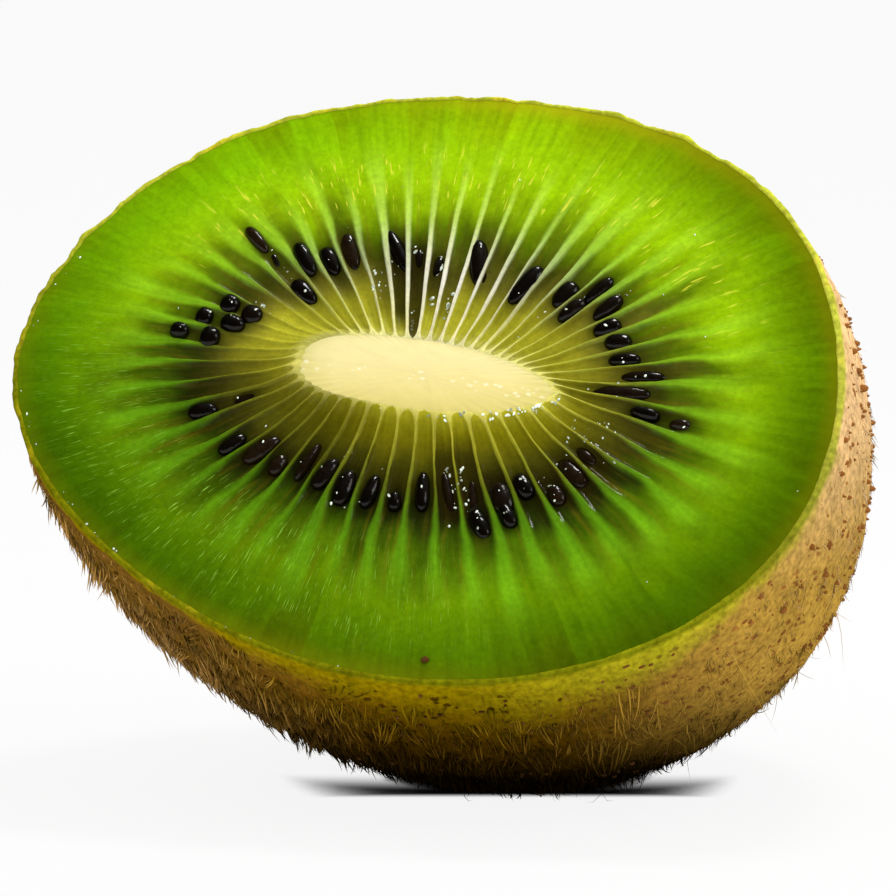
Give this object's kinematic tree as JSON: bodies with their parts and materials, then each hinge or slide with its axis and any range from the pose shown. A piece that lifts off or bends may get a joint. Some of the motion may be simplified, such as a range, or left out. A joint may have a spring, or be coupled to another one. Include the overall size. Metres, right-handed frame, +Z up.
{
  "type": "halved kiwi fruit",
  "caption": "Half of a furry-skinned green kiwi fruit, cut across, lying on its skin with the cut face tilted up: pale core, thin rays, dark seeds.",
  "frame": {"origin": "middle of the bounding box's underside, on the surface that the half rests on", "axes": "+X to the right along the cut face's long side, +Z up, and the cut face looks towards -Y and up"},
  "size_m": [0.0549, 0.0449, 0.0439],
  "materials": {
    "flesh": "wet, juicy and slightly see-through",
    "core": "moist, dense and creamy",
    "seeds": "wet and shiny",
    "skin": "dry, thin and leathery",
    "hairs": "dry short fibres"
  },
  "bodies": {
    "root": {"kiwi_half": "flesh"}
  },
  "joints": []
}
